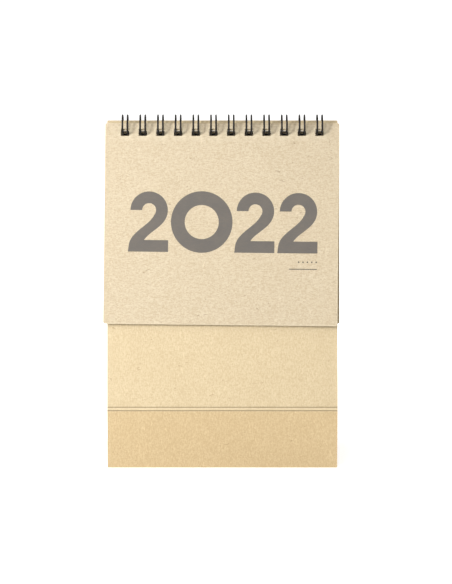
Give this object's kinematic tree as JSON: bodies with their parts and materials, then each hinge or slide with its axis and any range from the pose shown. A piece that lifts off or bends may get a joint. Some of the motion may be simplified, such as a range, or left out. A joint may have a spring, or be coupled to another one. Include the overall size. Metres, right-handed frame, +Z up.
{
  "type": "flip desk calendar",
  "caption": "Upright wire-bound desk calendar: a cover and month sheets flip over twin-loop wire on a folding A-frame stand of creased kraft card with fold-in base flaps.",
  "frame": {"origin": "centre of the footprint, on the desk surface where the two flaps' cut edges stand", "axes": "+X along the binding wire to the reader's right, -Y towards the reader, +Z up"},
  "size_m": [0.1122, 0.059, 0.1676],
  "materials": {
    "kraft_card": "matt uncoated kraft card with fine fibres",
    "kraft_cover": "matt uncoated kraft card, lighter, with fine fibres",
    "kraft_paper": "matt uncoated kraft paper with fine fibres",
    "binding_wire": "black enamelled steel wire, semi-gloss"
  },
  "bodies": {
    "front_board": {"stand_front_panel": "kraft_card", "wire_binding": "binding_wire"},
    "rear_board": {"stand_rear_panel": "kraft_card"},
    "front_flap": {"stand_front_flap": "kraft_card"},
    "rear_flap": {"stand_rear_flap": "kraft_card"},
    "month_12": {"month_sheet_12": "kraft_paper"},
    "month_11": {"month_sheet_11": "kraft_paper"},
    "month_10": {"month_sheet_10": "kraft_paper"},
    "month_09": {"month_sheet_09": "kraft_paper"},
    "month_08": {"month_sheet_08": "kraft_paper"},
    "month_07": {"month_sheet_07": "kraft_paper"},
    "month_06": {"month_sheet_06": "kraft_paper"},
    "month_05": {"month_sheet_05": "kraft_paper"},
    "month_04": {"month_sheet_04": "kraft_paper"},
    "month_03": {"month_sheet_03": "kraft_paper"},
    "month_02": {"month_sheet_02": "kraft_paper"},
    "month_01": {"month_sheet_01": "kraft_paper"},
    "cover": {"cover_sheet": "kraft_cover"}
  },
  "joints": [
    {"name": "stand_fold", "type": "hinge", "parent": "front_board", "child": "rear_board", "pos_m": [0, -0.00243, 0.16254], "axis": [1, 0, 0], "range_deg": [-18, 0]},
    {"name": "front_flap_fold", "type": "hinge", "parent": "front_board", "child": "front_flap", "pos_m": [0, -0.02919, 0.02904], "axis": [1, 0, 0], "range_deg": [-12, 90]},
    {"name": "rear_flap_fold", "type": "hinge", "parent": "rear_board", "child": "rear_flap", "pos_m": [0, 0.02919, 0.02904], "axis": [-1, 0, 0], "range_deg": [-12, 90]},
    {"name": "month_12_flip", "type": "hinge", "parent": "front_board", "child": "month_12", "pos_m": [0, -0.00308, 0.16355], "axis": [-1, 0, 0], "range_deg": [0, 240]},
    {"name": "month_11_flip", "type": "hinge", "parent": "month_12", "child": "month_11", "pos_m": [0, -0.00308, 0.16355], "axis": [-1, 0, 0], "range_deg": [0, 240]},
    {"name": "month_10_flip", "type": "hinge", "parent": "month_11", "child": "month_10", "pos_m": [0, -0.00308, 0.16355], "axis": [-1, 0, 0], "range_deg": [0, 240]},
    {"name": "month_09_flip", "type": "hinge", "parent": "month_10", "child": "month_09", "pos_m": [0, -0.00308, 0.16355], "axis": [-1, 0, 0], "range_deg": [0, 240]},
    {"name": "month_08_flip", "type": "hinge", "parent": "month_09", "child": "month_08", "pos_m": [0, -0.00308, 0.16355], "axis": [-1, 0, 0], "range_deg": [0, 240]},
    {"name": "month_07_flip", "type": "hinge", "parent": "month_08", "child": "month_07", "pos_m": [0, -0.00308, 0.16355], "axis": [-1, 0, 0], "range_deg": [0, 240]},
    {"name": "month_06_flip", "type": "hinge", "parent": "month_07", "child": "month_06", "pos_m": [0, -0.00308, 0.16355], "axis": [-1, 0, 0], "range_deg": [0, 240]},
    {"name": "month_05_flip", "type": "hinge", "parent": "month_06", "child": "month_05", "pos_m": [0, -0.00308, 0.16355], "axis": [-1, 0, 0], "range_deg": [0, 240]},
    {"name": "month_04_flip", "type": "hinge", "parent": "month_05", "child": "month_04", "pos_m": [0, -0.00308, 0.16355], "axis": [-1, 0, 0], "range_deg": [0, 240]},
    {"name": "month_03_flip", "type": "hinge", "parent": "month_04", "child": "month_03", "pos_m": [0, -0.00308, 0.16355], "axis": [-1, 0, 0], "range_deg": [0, 240]},
    {"name": "month_02_flip", "type": "hinge", "parent": "month_03", "child": "month_02", "pos_m": [0, -0.00308, 0.16355], "axis": [-1, 0, 0], "range_deg": [0, 240]},
    {"name": "month_01_flip", "type": "hinge", "parent": "month_02", "child": "month_01", "pos_m": [0, -0.00308, 0.16355], "axis": [-1, 0, 0], "range_deg": [0, 240]},
    {"name": "cover_flip", "type": "hinge", "parent": "month_01", "child": "cover", "pos_m": [0, -0.00308, 0.16355], "axis": [-1, 0, 0], "range_deg": [0, 240]}
  ]
}
